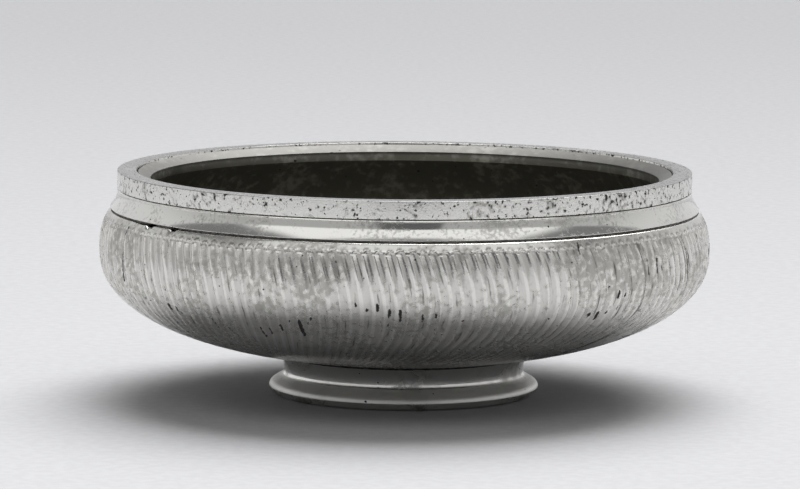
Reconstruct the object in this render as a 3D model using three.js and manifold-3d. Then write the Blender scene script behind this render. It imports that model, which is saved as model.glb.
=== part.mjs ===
// A wide silver bowl on a low foot ring: a smooth inner bowl held inside a thin fluted casing,
// with a heavy flat rim and a hollow-curved collar above the flutes.
// Millimetres, +Z up. The origin is the centre of the circle that the foot stands on.
import * as THREE from "three";
import { mergeVertices } from "three/addons/utils/BufferGeometryUtils.js";
import Module from "manifold-3d";

const wasm = await Module();
wasm.setup();

// Casing: the fluted outer bowl of thin sheet
const bellyRadius = 80; // widest radius, on the ridges between the flutes
const bellyHeight = 27.3; // from the flat bottom up to the widest level
const shoulderHeight = 10.5; // from the widest level up to the top edge
const shoulderDrop = 2.7; // how far the top edge stands inside the widest radius
const casingWall = 1.3; // sheet thickness on the ridges
const fluteCount = 176;
const fluteDepth = 0.4; // how far a flute is sunk at the widest level
const plainBand = 2.3; // smooth band between the top edge and the flutes
const fluteArch = 1.1; // height of the round arch that ends each flute
const fluteLean = 0.42; // steepest sideways run of a flute, per unit of its length
const leanReach = 14; // length of wall over which a flute comes to that lean
const straightBelow = 7; // where a flute runs upright, along the wall below the widest level

// Foot ring: low foot with a hollow waist and a rounded flange
const footHeight = 10.3;
const footWaistRadius = 31.4;
const footFlangeRadius = 35.4;
const footFlangeHeight = 3.2; // level of the widest part of the flange
const flangeHalfWidth = 2.4; // half of the flange's rounded section, across
const flangeHalfHeight = 2.9; // half of the flange's rounded section, up and down
const footRestRadius = 33.4; // outside of the face that stands on the table
const footRestWidth = 2.8;
const footSeatWidth = 3.9; // width of the face that is soldered to the casing
const footWall = 2.2; // thickness at the waist
const waistHeight = 1.3; // upright stretch of the waist, down from the seat

// Collar and rim
const collarHeight = 5.2;
const collarOverhang = 0.1; // how far the collar's top edge stands proud of the rim ring
const collarLip = 0.2; // how far the hollow starts inside the collar's top edge
const collarFlare = 2.1; // how far the collar's bottom edge stands out from its waist
const collarEdge = 0.35; // height of the collar's rounded top and bottom edges
const grooveDepth = 0.8; // groove between the collar and the rim ring
const grooveHeight = 0.4; // height that each of the two gives to the groove
const rimInset = 4.8; // how far the rim ring stands inside the widest radius
const rimHeight = 4.7;
const rimFlatWidth = 5; // flat band on top of the rim ring
const rimRounding = 0.6; // rounded outer edge of the rim ring
const rebateDepth = 2.6; // step in the rim ring that takes the liner's lip

// Liner: the smooth inner bowl
const linerWall = 1;
const hollowGap = 2.7; // air space between the liner and the casing at the belly
const linerBellyDrop = 1; // how far the liner's widest level lies below the casing's
const linerFloorRadius = 18; // flat spot that rests on the casing's bottom
const lipWidth = 3.35; // sloping band round the mouth
const lipStep = 0.45; // how far the lip's outer edge lies below the flat rim
const lipFall = 1.65; // how far the lip falls from its outer to its inner edge

// Joints
const solderThickness = 0.4; // both solder seams
const solderInset = 0.35; // how far a solder seam lies behind the edges it joins
const fitGap = 0.3; // clearance between round faces that slide into each other

// Shape of the curves
const dishWidthPower = 2.29; // roundness of a bowl's curve, read across
const dishDepthPower = 2.22; // roundness of a bowl's curve, read downwards
const casingShoulderPower = 2.7; // how late the casing's shoulder turns in
const linerShoulderPower = 2; // how late the liner's shoulder turns in
const collarPower = 1.7; // how late the collar's hollow flares out
const roundSteps = 60; // sides of the turned rings

// Levels, from the table up
const seatZ = footHeight + solderThickness;
const bellyZ = seatZ + bellyHeight;
const casingTopZ = bellyZ + shoulderHeight;
const collarZ = casingTopZ + solderThickness;
const rimZ = collarZ + collarHeight;
const rimTopZ = rimZ + rimHeight;
const ledgeZ = rimTopZ - rebateDepth;

// Radii that follow from the sizes above
const casingTopRadius = bellyRadius - shoulderDrop;
const rimRadius = bellyRadius - rimInset;
const rebateRadius = rimRadius - rimFlatWidth;
const lipRadius = rebateRadius - fitGap;
const mouthRadius = lipRadius - lipWidth;
const linerNeckRadius = mouthRadius + linerWall;
const linerBellyRadius = bellyRadius - casingWall - hollowGap;

const point = (radius, height) => new THREE.Vector2(radius, height);

// A bowl's wall from the edge of its flat floor out to its widest level.
function dishCurve(floorRadius, floorZ, widestRadius, widestZ, steps) {
  const start = Math.asin((floorRadius / widestRadius) ** (dishWidthPower / 2));
  const depth = (widestZ - floorZ) / Math.cos(start) ** (2 / dishDepthPower);
  return Array.from({ length: steps + 1 }, (_, i) => {
    const turn = start + ((Math.PI / 2 - start) * i) / steps;
    const out = Math.sin(turn) ** (2 / dishWidthPower);
    const down = Math.max(Math.cos(turn), 0) ** (2 / dishDepthPower);
    return point(widestRadius * out, widestZ - depth * down);
  });
}

// A bowl's wall from its widest level in and up to its top, at the given shares of that height.
function shoulderCurve(widest, top, power, shares) {
  return shares.map((share) =>
    point(widest.x - (widest.x - top.x) * share ** power, widest.y + (top.y - widest.y) * share),
  );
}

// Evenly spaced shares above 0, up to and with 1.
const evenShares = (count) => Array.from({ length: count }, (_, i) => (i + 1) / count);

// A run of points along an ellipse, from one angle to another in degrees.
function ellipseArc(centre, halfWidth, halfHeight, from, to, steps) {
  return Array.from({ length: steps + 1 }, (_, i) => {
    const angle = THREE.MathUtils.degToRad(from + ((to - from) * i) / steps);
    return point(centre.x + halfWidth * Math.cos(angle), centre.y + halfHeight * Math.sin(angle));
  });
}

// Turns a profile of radius and height about the Z axis.
function turned(profile) {
  const geometry = new THREE.LatheGeometry(profile, roundSteps);
  geometry.rotateX(Math.PI / 2);
  return facingOut(geometry);
}

// Turns a ring's closed section about the Z axis.
const turnedRing = (section) => turned([...section, section[0]]);

// Flips a closed surface whose faces point in.
function facingOut(geometry) {
  const at = geometry.getAttribute("position");
  const index = geometry.getIndex();
  const corner = [0, 1, 2].map(() => new THREE.Vector3());
  let volume = 0;
  for (let i = 0; i < index.count; i += 3) {
    corner.forEach((vector, k) => vector.fromBufferAttribute(at, index.getX(i + k)));
    volume += corner[0].dot(corner[1].cross(corner[2]));
  }
  if (volume < 0) {
    for (let i = 0; i < index.count; i += 3) {
      const first = index.getX(i);
      index.setX(i, index.getX(i + 1));
      index.setX(i + 1, first);
    }
  }
  return geometry;
}

function toSolid(geometry) {
  const bare = geometry.clone();
  bare.deleteAttribute("normal");
  bare.deleteAttribute("uv");
  const merged = mergeVertices(bare);
  const corners = Array.from(merged.getIndex().array);
  const triangles = [];
  for (let i = 0; i < corners.length; i += 3) {
    const [a, b, c] = corners.slice(i, i + 3);
    if (a !== b && b !== c && c !== a) triangles.push(a, b, c);
  }
  const mesh = new wasm.Mesh({
    numProp: 3,
    vertProperties: Float32Array.from(merged.getAttribute("position").array),
    triVerts: Uint32Array.from(triangles),
  });
  return new wasm.Manifold(mesh);
}

function fromSolid(solid) {
  const mesh = solid.getMesh();
  const geometry = new THREE.BufferGeometry();
  geometry.setAttribute("position", new THREE.BufferAttribute(mesh.vertProperties, 3));
  geometry.setIndex(new THREE.BufferAttribute(mesh.triVerts, 1));
  geometry.computeVertexNormals();
  return geometry;
}

// Turn of the flutes about the Z axis at each point of the wall, nought at the widest level.
// A flute is upright a little below the belly and sweeps one way above and below that.
function fluteTurns(wall) {
  const along = [0];
  for (let i = 1; i < wall.length; i += 1) {
    along.push(along[i - 1] + wall[i].distanceTo(wall[i - 1]));
  }
  const widest = wall.reduce((best, place, i) => (place.x > wall[best].x ? i : best), 0);
  const upright = along[widest] - straightBelow;
  const slope = (i) => (fluteLean * Math.tanh((along[i] - upright) / leanReach)) / wall[i].x;
  const turns = [0];
  for (let i = 1; i < wall.length; i += 1) {
    const step = along[i] - along[i - 1];
    turns.push(turns[i - 1] - ((slope(i) + slope(i - 1)) / 2) * step);
  }
  return turns.map((turn) => turn - turns[widest]);
}

// The casing as a full block: fluted outside, flat at the top and the bottom.
function flutedBlock() {
  const rows = 7;
  const lower = dishCurve(footWaistRadius, seatZ, bellyRadius, bellyZ, rows);
  const full = (shoulderHeight - plainBand - fluteArch) / shoulderHeight;
  const arch = (shoulderHeight - plainBand) / shoulderHeight;
  const top = point(casingTopRadius, casingTopZ);
  const shares = [full / 2, full, arch, 1];
  const upper = shoulderCurve(point(bellyRadius, bellyZ), top, casingShoulderPower, shares);
  const wall = [...lower, ...upper];
  const turns = fluteTurns(wall);
  const plainRows = 2;
  const columns = 2 * fluteCount;
  const positions = [];
  wall.forEach((place, row) => {
    const plain = row >= wall.length - plainRows;
    const sunk = plain ? 0 : (fluteDepth * place.x) / bellyRadius;
    for (let column = 0; column < columns; column += 1) {
      const angle = (column * Math.PI) / fluteCount + turns[row];
      const radius = column % 2 === 0 ? place.x : place.x - sunk;
      positions.push(radius * Math.cos(angle), radius * Math.sin(angle), place.y);
    }
  });
  const floorCentre = positions.length / 3;
  positions.push(0, 0, seatZ, 0, 0, casingTopZ);
  const topCentre = floorCentre + 1;
  const lastRow = (wall.length - 1) * columns;
  const indices = [];
  for (let column = 0; column < columns; column += 1) {
    const next = (column + 1) % columns;
    for (let row = 0; row < lastRow; row += columns) {
      indices.push(row + column, row + next, row + columns + next);
      indices.push(row + column, row + columns + next, row + columns + column);
    }
    indices.push(floorCentre, next, column);
    indices.push(topCentre, lastRow + column, lastRow + next);
  }
  const geometry = new THREE.BufferGeometry();
  geometry.setAttribute("position", new THREE.Float32BufferAttribute(positions, 3));
  geometry.setIndex(indices);
  return geometry;
}

// The hollow of the casing, running out past its top edge.
function casingHollow() {
  const clear = 5;
  const widest = point(bellyRadius - casingWall, bellyZ);
  const top = point(casingTopRadius - casingWall, casingTopZ);
  const lower = dishCurve(footWaistRadius, seatZ + casingWall, widest.x, widest.y, 6);
  const upper = shoulderCurve(widest, top, casingShoulderPower, evenShares(3));
  return turned([
    point(0, seatZ + casingWall),
    ...lower,
    ...upper,
    point(top.x, casingTopZ + clear),
    point(0, casingTopZ + clear),
  ]);
}

function makeCasing() {
  return fromSolid(toSolid(flutedBlock()).subtract(toSolid(casingHollow())));
}

// The liner's outside from its flat floor up to the rim ring's bottom.
const linerFloorZ = seatZ + casingWall;
const linerBellyZ = bellyZ - linerBellyDrop;
const linerWidest = point(linerBellyRadius, linerBellyZ);
const linerNeck = point(linerNeckRadius, rimZ - fitGap);

function linerRadiusAt(height) {
  const share = (height - linerWidest.y) / (linerNeck.y - linerWidest.y);
  return linerWidest.x - (linerWidest.x - linerNeck.x) * share ** linerShoulderPower;
}

function makeLiner() {
  const dishSteps = 6;
  const shoulderShares = evenShares(4);
  const insideWidest = point(linerWidest.x - linerWall, linerWidest.y);
  const insideNeck = point(mouthRadius, linerNeck.y + linerWall / 2);
  const insideFloorZ = linerFloorZ + linerWall;
  const lipZ = rimTopZ - lipStep;
  const inside = [
    ...dishCurve(linerFloorRadius, insideFloorZ, insideWidest.x, insideWidest.y, dishSteps),
    ...shoulderCurve(insideWidest, insideNeck, linerShoulderPower, shoulderShares),
  ];
  const outside = [
    ...dishCurve(linerFloorRadius, linerFloorZ, linerWidest.x, linerWidest.y, dishSteps),
    ...shoulderCurve(linerWidest, linerNeck, linerShoulderPower, shoulderShares),
  ];
  return turned([
    point(0, insideFloorZ),
    ...inside,
    point(mouthRadius, lipZ - lipFall),
    point(lipRadius, lipZ),
    point(lipRadius, ledgeZ),
    point(linerNeckRadius, ledgeZ),
    ...outside.reverse(),
    point(0, linerFloorZ),
  ]);
}

function makeRimRing() {
  const inner = linerNeckRadius + fitGap;
  const edge = point(rimRadius - rimRounding, rimTopZ - rimRounding);
  return turnedRing([
    point(inner, rimZ),
    point(rimRadius - grooveDepth, rimZ),
    point(rimRadius, rimZ + grooveHeight),
    ...ellipseArc(edge, rimRounding, rimRounding, 0, 90, 2),
    point(rebateRadius, rimTopZ),
    point(rebateRadius, ledgeZ),
    point(inner, ledgeZ),
  ]);
}

function makeCollar() {
  const steps = 5;
  const inner = linerRadiusAt(collarZ) + fitGap;
  const topEdge = rimRadius + collarOverhang;
  const waist = topEdge - collarLip;
  const hollowTop = rimZ - grooveHeight - collarEdge;
  const hollowBottom = collarZ + collarEdge;
  const hollow = evenShares(steps).map((share) =>
    point(waist + collarFlare * share ** collarPower, hollowTop + (hollowBottom - hollowTop) * share),
  );
  return turnedRing([
    point(inner, collarZ),
    point(waist + collarFlare - collarEdge, collarZ),
    ...hollow.reverse(),
    point(waist, hollowTop),
    point(topEdge, rimZ - grooveHeight),
    point(rimRadius - grooveDepth, rimZ),
    point(inner, rimZ),
  ]);
}

// A flat ring of solder between two faces.
function makeSolder(inner, outer, bottomZ) {
  return turnedRing([
    point(inner, bottomZ),
    point(outer, bottomZ),
    point(outer, bottomZ + solderThickness),
    point(inner, bottomZ + solderThickness),
  ]);
}

const makeCollarSolder = () =>
  makeSolder(casingTopRadius - casingWall, casingTopRadius - solderInset, casingTopZ);

const makeFootSolder = () =>
  makeSolder(footWaistRadius - footSeatWidth, footWaistRadius - solderInset, footHeight);

function makeFootRing() {
  const flange = point(footFlangeRadius - flangeHalfWidth, footFlangeHeight);
  const flangeTop = 55;
  const flangeSide = -50;
  const joint = ellipseArc(flange, flangeHalfWidth, flangeHalfHeight, flangeTop, flangeTop, 1)[0];
  const waistFoot = point(footWaistRadius, footHeight - waistHeight);
  const hollow = point(joint.x + (joint.x - footWaistRadius) / 3, waistFoot.y);
  const hollowHalfWidth = hollow.x - footWaistRadius;
  const reach = Math.asin((hollow.x - joint.x) / hollowHalfWidth);
  const hollowHalfHeight = (waistFoot.y - joint.y) / Math.cos(reach);
  const reachEnd = 270 - THREE.MathUtils.radToDeg(reach);
  const restInner = footRestRadius - footRestWidth;
  const seatInner = footWaistRadius - footSeatWidth;
  const waistInner = footWaistRadius - footWall;
  const seatFlange = waistHeight + footWall / 2;
  return turnedRing([
    point(restInner, 0),
    point(footRestRadius, 0),
    ...ellipseArc(flange, flangeHalfWidth, flangeHalfHeight, flangeSide, flangeTop, 5),
    ...ellipseArc(hollow, hollowHalfWidth, hollowHalfHeight, reachEnd, 180, 3).slice(1),
    point(footWaistRadius, footHeight),
    point(seatInner, footHeight),
    point(seatInner, footHeight - seatFlange),
    point(waistInner, footHeight - seatFlange),
  ]);
}

const silver = (color, roughness) =>
  new THREE.MeshStandardMaterial({ color, roughness, metalness: 1 });

const brightSilver = silver(0xc9c8c2, 0.28);
const chasedSilver = silver(0xb9b8b2, 0.34);
const tarnishedSilver = silver(0x6f6e69, 0.4);
const solderGrey = silver(0x4a4946, 0.6);

function piece(name, geometry, material) {
  const mesh = new THREE.Mesh(geometry, material);
  mesh.name = name;
  return mesh;
}

const bowl = new THREE.Group();
bowl.add(
  piece("foot_ring", makeFootRing(), brightSilver),
  piece("foot_solder", makeFootSolder(), solderGrey),
  piece("fluted_casing", makeCasing(), chasedSilver),
  piece("collar_solder", makeCollarSolder(), solderGrey),
  piece("collar_moulding", makeCollar(), brightSilver),
  piece("rim_ring", makeRimRing(), brightSilver),
  piece("liner_bowl", makeLiner(), tarnishedSilver),
);

export default bowl;
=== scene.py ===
import math

import bpy
import numpy as np
from mathutils import Matrix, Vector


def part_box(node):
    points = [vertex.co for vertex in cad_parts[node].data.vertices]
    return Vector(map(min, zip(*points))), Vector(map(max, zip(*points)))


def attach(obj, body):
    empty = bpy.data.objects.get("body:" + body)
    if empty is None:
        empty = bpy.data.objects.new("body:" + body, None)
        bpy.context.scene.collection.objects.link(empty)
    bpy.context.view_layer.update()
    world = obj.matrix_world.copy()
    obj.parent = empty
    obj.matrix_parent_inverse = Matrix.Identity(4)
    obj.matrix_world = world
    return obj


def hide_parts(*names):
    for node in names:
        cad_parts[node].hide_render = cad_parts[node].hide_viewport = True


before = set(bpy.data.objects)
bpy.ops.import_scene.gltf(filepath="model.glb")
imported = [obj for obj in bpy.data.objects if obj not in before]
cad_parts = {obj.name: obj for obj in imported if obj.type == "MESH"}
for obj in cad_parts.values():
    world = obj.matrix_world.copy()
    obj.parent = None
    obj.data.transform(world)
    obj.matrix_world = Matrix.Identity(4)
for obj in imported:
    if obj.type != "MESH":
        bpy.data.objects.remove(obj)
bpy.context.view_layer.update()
bpy.context.scene.view_settings.view_transform = "Standard"

# Camera: it stands 1.4 m in front of the bowl, a little above the rim, and looks slightly down
# through a long lens, so that the mouth shows as a narrow ellipse.
CAMERA_PLACE = (-0.00117, -1.4, 0.20724)
CAMERA_DIP = math.radians(6.851)
CAMERA_ROLL = math.radians(0.38)
CAMERA_LENS = 241.68
CAMERA_SENSOR = 36

camera_data = bpy.data.cameras.new("long_lens")
camera_data.lens = CAMERA_LENS
camera_data.sensor_width = CAMERA_SENSOR
camera = bpy.data.objects.new("long_lens", camera_data)
aim = Matrix.Rotation(math.pi / 2 - CAMERA_DIP, 4, "X") @ Matrix.Rotation(CAMERA_ROLL, 4, "Z")
camera.matrix_world = Matrix.Translation(CAMERA_PLACE) @ aim
bpy.context.collection.objects.link(camera)
bpy.context.scene.camera = camera

# Floor: a wide sheet of matt paper that the bowl stands on. It is mid grey, and the strong light
# makes it look pale; further back it is painted darker, which is painted shade. Seen from below it
# lets the view through, and it has a hole inside the foot ring, so that the underside of the bowl
# can be looked at.
PAPER_REACH = 6.0
PAPER_DROP = 0.00005
PAPER_SIDES = 64
PAPER_HOLE = 0.0295
PAPER_NEAR = (0.352, 0.352, 0.357, 1)
PAPER_FAR_PAINTED_SHADE = (0.262, 0.262, 0.267, 1)
PAPER_SHADE = (0.95, 0.95, 0.95, 1)
# Metres behind the bowl's axis, between which the paper turns from its near to its darker far
# colour, which is painted shade for the light falling off further back
PAPER_TURN = (-0.3, 1.4)
# Each noise has the width of its patches in millimetres, and how much finer detail it carries
PAPER_FIBRES = (3.0, 6.0)
FIBRE_EDGE = (0.35, 0.65)


def add_node(tree, kind, inputs=(), **settings):
    """Adds a shader node. inputs gives its sockets a link or a plain value."""
    node = tree.nodes.new(kind)
    for name, value in settings.items():
        setattr(node, name, value)
    for key, value in dict(inputs).items():
        if isinstance(value, bpy.types.NodeSocket):
            tree.links.new(value, node.inputs[key])
        else:
            node.inputs[key].default_value = value
    return node


def step_between(tree, value, low, high):
    """Rises smoothly from 0 at low to 1 at high. It falls where low is the larger."""
    limits = {"Value": value, "From Min": low, "From Max": high}
    return add_node(tree, "ShaderNodeMapRange", limits, interpolation_type="SMOOTHSTEP").outputs[0]


def mix_colours(tree, share, first, second, blend="MIX"):
    """The first colour, turning into the second as share goes from 0 to 1."""
    sockets = {0: share, 6: first, 7: second}
    mix = add_node(tree, "ShaderNodeMix", sockets, data_type="RGBA", blend_type=blend)
    return mix.outputs[2]


def noise(tree, where, patch, detail):
    """Soft noise about 0.5 whose patches are about that many millimetres wide."""
    sockets = {"Vector": where, "Scale": 1000 / patch, "Detail": detail}
    return add_node(tree, "ShaderNodeTexNoise", sockets).outputs[0]


def empty_material(name):
    """A new material with an empty node tree, and its object coordinates."""
    material = bpy.data.materials.new(name)
    material.use_nodes = True
    tree = material.node_tree
    tree.nodes.clear()
    where = add_node(tree, "ShaderNodeTexCoord").outputs["Object"]
    return material, tree, where


def studio_sheet(name, points, faces, material):
    """A flat sheet that belongs to the studio."""
    mesh = bpy.data.meshes.new(name)
    mesh.from_pydata(points, [], faces)
    mesh.materials.append(material)
    sheet = bpy.data.objects.new(name, mesh)
    bpy.context.collection.objects.link(sheet)
    return sheet


paper_material, tree, where = empty_material("matt_paper")
distance = add_node(tree, "ShaderNodeSeparateXYZ", {0: where}).outputs["Y"]
# Painted shade: the paper is painted darker further back, for the light falling off
far_painted_shade = step_between(tree, distance, *PAPER_TURN)
paper_colour = mix_colours(tree, far_painted_shade, PAPER_NEAR, PAPER_FAR_PAINTED_SHADE)
fibres = step_between(tree, noise(tree, where, *PAPER_FIBRES), *FIBRE_EDGE)
paper_colour = mix_colours(tree, fibres, paper_colour, PAPER_SHADE, "MULTIPLY")
paper_surface = add_node(tree, "ShaderNodeBsdfDiffuse", {"Color": paper_colour})
see_through = add_node(tree, "ShaderNodeBsdfTransparent")
from_below = add_node(tree, "ShaderNodeNewGeometry").outputs["Backfacing"]
either = {0: from_below, 1: paper_surface.outputs[0], 2: see_through.outputs[0]}
paper_side = add_node(tree, "ShaderNodeMixShader", either)
add_node(tree, "ShaderNodeOutputMaterial", {"Surface": paper_side.outputs[0]})
hole_angles = np.linspace(0, 2 * math.pi, PAPER_SIDES, endpoint=False)
paper_points = [
    (radius * math.cos(angle), radius * math.sin(angle), -PAPER_DROP)
    for radius in (PAPER_HOLE, PAPER_REACH)
    for angle in hole_angles
]
paper_faces = [
    (i, i + PAPER_SIDES, (i + 1) % PAPER_SIDES + PAPER_SIDES, (i + 1) % PAPER_SIDES)
    for i in range(PAPER_SIDES)
]
studio_sheet("paper_floor", paper_points, paper_faces, paper_material)

# Light tent: cloth walls round the bowl, with a large soft light above and behind it and a bright
# panel in front, above the lens. The lens looks past a black screen, which the silver mirrors.
FRONT_WALL = (0.50, 0.50, 0.505, 1)
BACK_WALL = (0.78, 0.78, 0.79, 1)
CEILING = (0.24, 0.24, 0.245, 1)
FRONT_PANEL = (1.10, 1.10, 1.11, 1)
# Stronger than a plain level. The paper, the rim's top, the lip and the liner's floor are written
# darker than the real ones, to suit it, and look too dark in a plainer light
SOFT_LIGHT = (12.0, 12.0, 12.1, 1)
SOFT_LIGHT_DIRECTION = (0.12, 0.47, 0.874)
SOFT_LIGHT_EDGE = math.cos(math.radians(33))
SOFT_LIGHT_CORE = math.cos(math.radians(14))
# The walls turn from the front's grey to the back's between these angles off the front
WALL_TURN = (1.1, 2.3)
WALL_TOP = math.sin(math.radians(39))
PANEL_BOTTOM = math.sin(math.radians(42))
PANEL_TOP = math.sin(math.radians(64))
PANEL_FADE = math.sin(math.radians(72))
PANEL_HALF_ANGLE = math.radians(62)
PANEL_SOFT_ANGLE = math.radians(84)
# The wall's top sinks to the sides by this much times the angle squared, as far as the end
WALL_SLOPE = 0.078
WALL_SLOPE_END = 1.0
SCREEN_DISTANCE = 2.9
SCREEN_HALF_ANGLE = math.radians(13.3)
SCREEN_SIDEWAYS = 0.11
SCREEN_BOTTOM = 0.12
SCREEN_TOP_ANGLE = math.radians(41)
SCREEN_COLOUR = (0.07, 0.07, 0.072, 1)
SCREEN_FADED = (0.095, 0.095, 0.098, 1)
SCREEN_NAP = (40.0, 3.0)
NAP_EDGE = (0.3, 0.7)


def calculate(tree, operation, first, second=0.0):
    """One arithmetic step between two sockets or numbers."""
    return add_node(tree, "ShaderNodeMath", {0: first, 1: second}, operation=operation).outputs[0]


world = bpy.data.worlds.new("light_tent")
world.use_nodes = True
bpy.context.scene.world = world
tent = world.node_tree
tent.nodes.clear()
direction = add_node(tent, "ShaderNodeTexCoord").outputs["Generated"]
heading = add_node(tent, "ShaderNodeSeparateXYZ", {0: direction})
forward = calculate(tent, "MULTIPLY", heading.outputs["Y"], -1)
off_front = calculate(tent, "ARCTAN2", heading.outputs["X"], forward)
off_front = calculate(tent, "ABSOLUTE", off_front)
behind = step_between(tent, off_front, *WALL_TURN)
sideways = calculate(tent, "MINIMUM", off_front, WALL_SLOPE_END)
sideways_squared = calculate(tent, "MULTIPLY", sideways, sideways)
lower_aside = calculate(tent, "MULTIPLY", sideways_squared, WALL_SLOPE)
over_wall = calculate(tent, "ADD", heading.outputs["Z"], lower_aside)
above_wall = step_between(tent, over_wall, WALL_TOP, PANEL_BOTTOM)
below_fade = step_between(tent, heading.outputs["Z"], PANEL_FADE, PANEL_TOP)
in_front = step_between(tent, off_front, PANEL_SOFT_ANGLE, PANEL_HALF_ANGLE)
at_height = calculate(tent, "MULTIPLY", above_wall, below_fade)
in_panel = calculate(tent, "MULTIPLY", in_front, at_height)
facing = {0: direction, 1: SOFT_LIGHT_DIRECTION}
towards_light = add_node(tent, "ShaderNodeVectorMath", facing, operation="DOT_PRODUCT")
in_light = step_between(tent, towards_light.outputs["Value"], SOFT_LIGHT_EDGE, SOFT_LIGHT_CORE)
tent_light = mix_colours(tent, behind, FRONT_WALL, BACK_WALL)
tent_light = mix_colours(tent, above_wall, tent_light, CEILING)
tent_light = mix_colours(tent, in_panel, tent_light, FRONT_PANEL)
tent_light = mix_colours(tent, in_light, tent_light, SOFT_LIGHT)
tent_cloth = add_node(tent, "ShaderNodeBackground", {"Color": tent_light})
add_node(tent, "ShaderNodeOutputWorld", {"Surface": tent_cloth.outputs[0]})

screen_material, tree, where = empty_material("black_screen_cloth")
nap = step_between(tree, noise(tree, where, *SCREEN_NAP), *NAP_EDGE)
screen_colour = mix_colours(tree, nap, SCREEN_COLOUR, SCREEN_FADED)
screen_surface = add_node(tree, "ShaderNodeBsdfDiffuse", {"Color": screen_colour})
add_node(tree, "ShaderNodeOutputMaterial", {"Surface": screen_surface.outputs[0]})
screen_half = SCREEN_DISTANCE * math.tan(SCREEN_HALF_ANGLE)
screen_top = SCREEN_DISTANCE * math.tan(SCREEN_TOP_ANGLE)
screen_left = SCREEN_SIDEWAYS - screen_half
screen_right = SCREEN_SIDEWAYS + screen_half
screen_corners = [
    (screen_left, -SCREEN_DISTANCE, SCREEN_BOTTOM),
    (screen_right, -SCREEN_DISTANCE, SCREEN_BOTTOM),
    (screen_right, -SCREEN_DISTANCE, screen_top),
    (screen_left, -SCREEN_DISTANCE, screen_top),
]
screen = studio_sheet("black_screen", screen_corners, [(0, 1, 2, 3)], screen_material)
screen.visible_camera = False

# Foot ring: a low ring of cast silver, turned to a hollow waist above a rounded flange, and
# soldered under the flat bottom of the casing. The upper half of the flange is frosted, and the
# foot is duller at the far sides.
MM = 0.001
FOOT_SIDES = 288
FOOT_REST_RADIUS = 33.4
FOOT_REST_WIDTH = 2.8
FOOT_CHAMFER = 0.2
FOOT_EDGE_RISE = 0.06
FOOT_WAIST_RADIUS = 31.5
FOOT_WAIST_DROP = 4.0
FOOT_FLARE = 2.2
FLARE_POWER = 2.6
FLARE_STEPS = 14
FOOT_FILLET = 0.3
FOOT_SPREAD = 0.85
SPREAD_STEPS = 6
FOOT_SEAT_OUTER = 31.4
FOOT_SEAT_WIDTH = 3.9
FOOT_SEAT_DEPTH = 2.4
FOOT_WALL = 2.7
FLANGE_LEVEL = 2.0
FLANGE_HALF_WIDTH = 2.2
FLANGE_HALF_HEIGHT = 1.9
FLANGE_UNDER = math.radians(-64)
FLANGE_JOIN = math.radians(64)
FLANGE_STEPS = 18
FOOT_WOBBLE = 0.05
WOBBLE_WAVES = range(2, 9)
TURNED_CREASE = math.radians(34)
FOOT_BRIGHT = (0.78, 0.775, 0.745, 1)
FOOT_DULL = (0.30, 0.295, 0.275, 1)
FLANGE_FROST = (0.92, 0.915, 0.88, 1)
FOOT_CLOUDS = (9.0, 5.0)
FOOT_GRAIN = (0.9, 4.0)
# Places that a material reads are in metres, and each pair is where a step starts and ends
FOOT_FAR_SIDE = (0.021, 0.029)
FOOT_DULL_EDGE = (0.52, 0.78)
FROST_TOP = (0.0056, 0.0050)
FROST_BOTTOM = (0.0017, 0.0022)
FROST_STRENGTH = 0.8
FROST_ROUGHNESS = 0.55
FOOT_SMOOTH = 0.16
FOOT_ROUGHER = 0.26
FOOT_RELIEF = 0.02
# Pits: their spacing and largest size in millimetres, and the share of places that has one
FOOT_PITS = (1.6, 0.34, 0.16)
PIT_BLACK = (0.018, 0.017, 0.016, 1)
PIT_EDGE = (1.1, 0.7)
PIT_ROUGHNESS = 0.7
PIT_DULLING = 0.8
PIT_RAGGED = 0.0006
PIT_RAGGED_SCALE = 2200
PIT_RAGGED_DETAIL = 2


def arc(centre, half_width, half_height, start, end, steps):
    """Points along an ellipse, from one angle to another."""
    angle = np.linspace(start, end, steps + 1)
    across = centre[0] + half_width * np.cos(angle)
    return list(zip(across, centre[1] + half_height * np.sin(angle)))


def turned_rings(section, sides):
    """A section of (radius, height) in millimetres, turned about the bowl's axis."""
    radius, height = np.array(section).T
    angle = np.linspace(0, 2 * math.pi, sides, endpoint=False)
    height = np.broadcast_to(height[:, None], (len(section), sides))
    return np.stack([np.outer(radius, np.cos(angle)), np.outer(radius, np.sin(angle)), height], -1)


def add_wobble(rings, amount, random):
    """Moves rings of points in and out by a few slow waves, as a hand-made ring is never true."""
    angle = np.arctan2(rings[..., 1], rings[..., 0])
    swell = np.zeros(angle.shape)
    for waves in WOBBLE_WAVES:
        swell += np.sin(waves * angle + random.uniform(0, 2 * math.pi)) / waves
    radius = np.hypot(rings[..., 0], rings[..., 1])
    growth = 1 + amount * swell / np.maximum(radius, 1)
    return rings * np.stack([growth, growth, np.ones(growth.shape)], -1)


def wrapped_piece(name, rings, ends, crease, material):
    """One closed skin over rings of points in millimetres. ends are the heights on the axis where
    it closes, or None where the last ring joins the first."""
    ring_count, sides = rings.shape[:2]
    points = (rings.reshape(-1, 3) * MM).tolist()
    number = np.arange(ring_count * sides).reshape(ring_count, sides)
    below = number if ends is None else number[:-1]
    above = np.roll(number, -1, axis=0) if ends is None else number[1:]
    beside = [below, np.roll(below, -1, axis=1), np.roll(above, -1, axis=1), above]
    faces = np.stack(beside, axis=-1).reshape(-1, 4).tolist()
    if ends is not None:
        first, last = len(points), len(points) + 1
        points += [(0, 0, ends[0] * MM), (0, 0, ends[1] * MM)]
        faces += [(first, int(b), int(a)) for a, b in zip(number[0], np.roll(number[0], -1))]
        faces += [(last, int(a), int(b)) for a, b in zip(number[-1], np.roll(number[-1], -1))]
    mesh = bpy.data.meshes.new(name)
    mesh.from_pydata(points, [], faces)
    mesh.polygons.foreach_set("use_smooth", [True] * len(faces))
    mesh.set_sharp_from_angle(angle=crease)
    mesh.materials.append(material)
    piece = bpy.data.objects.new(name, mesh)
    bpy.context.collection.objects.link(piece)
    return piece


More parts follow.
